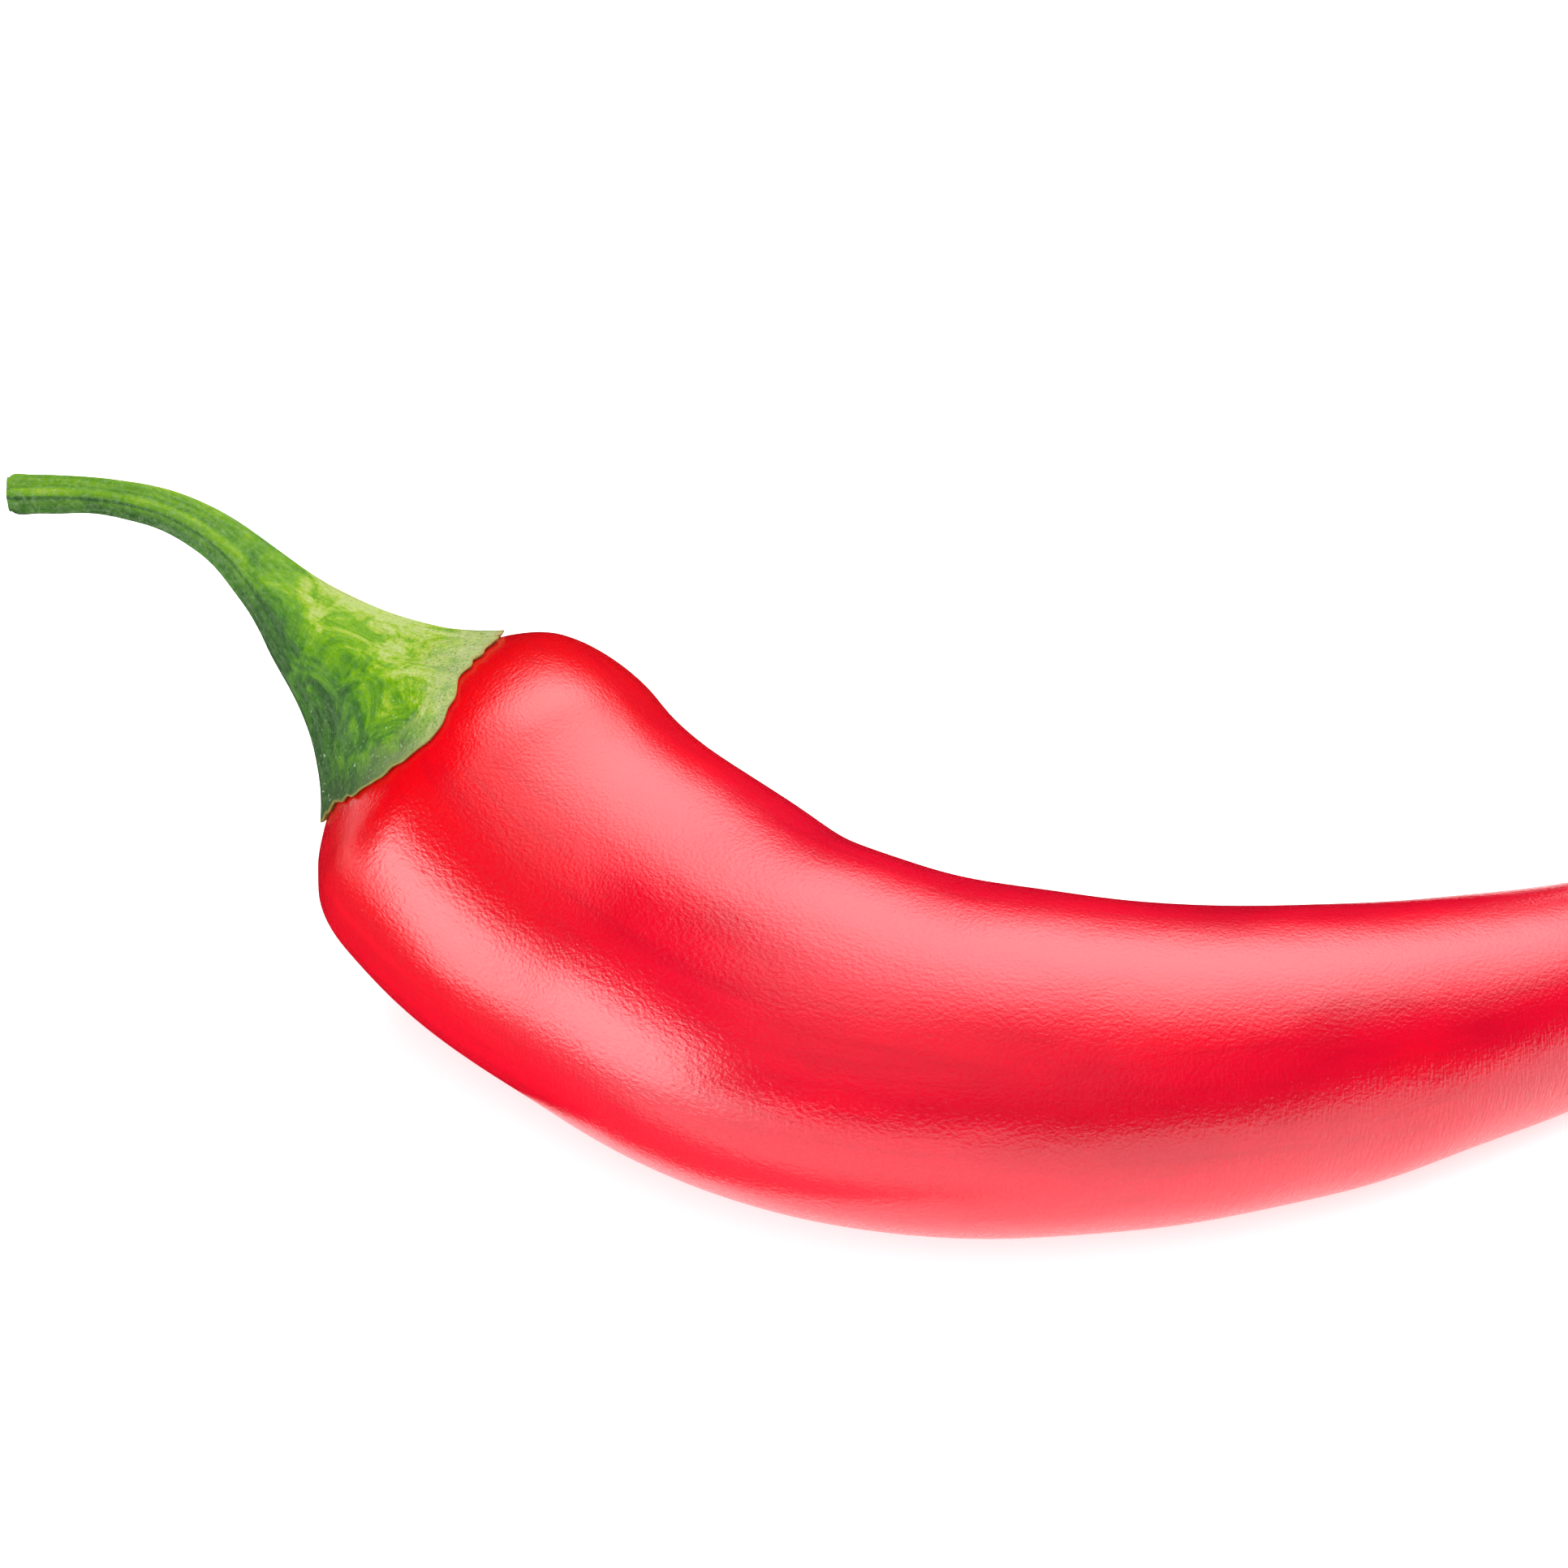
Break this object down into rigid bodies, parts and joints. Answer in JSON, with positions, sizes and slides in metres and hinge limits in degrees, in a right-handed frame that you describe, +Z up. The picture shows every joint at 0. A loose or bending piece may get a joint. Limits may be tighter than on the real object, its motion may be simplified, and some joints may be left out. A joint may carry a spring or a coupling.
{
  "type": "chilli pepper",
  "caption": "Whole fresh red chilli lying on its side: a long curved glossy pod that tapers to a blunt tip, with a green toothed calyx running out into a thin curved stalk.",
  "frame": {"origin": "on the surface that the chilli lies on, at the middle of its length and width", "axes": "+X from the cut end of the stalk towards the tip of the pod, +Z up from the surface it lies on; the pod bulges towards -Y"},
  "size_m": [0.1244, 0.0463, 0.0276],
  "materials": {
    "red_skin": "smooth waxy red skin with a soft gloss, fine cross wrinkles and faint lengthwise streaks",
    "green_stalk": "fibrous green plant tissue, mottled yellow-green and dark green along its length, half matt"
  },
  "bodies": {
    "root": {"pod": "red_skin", "calyx_and_stalk": "green_stalk"}
  },
  "joints": []
}
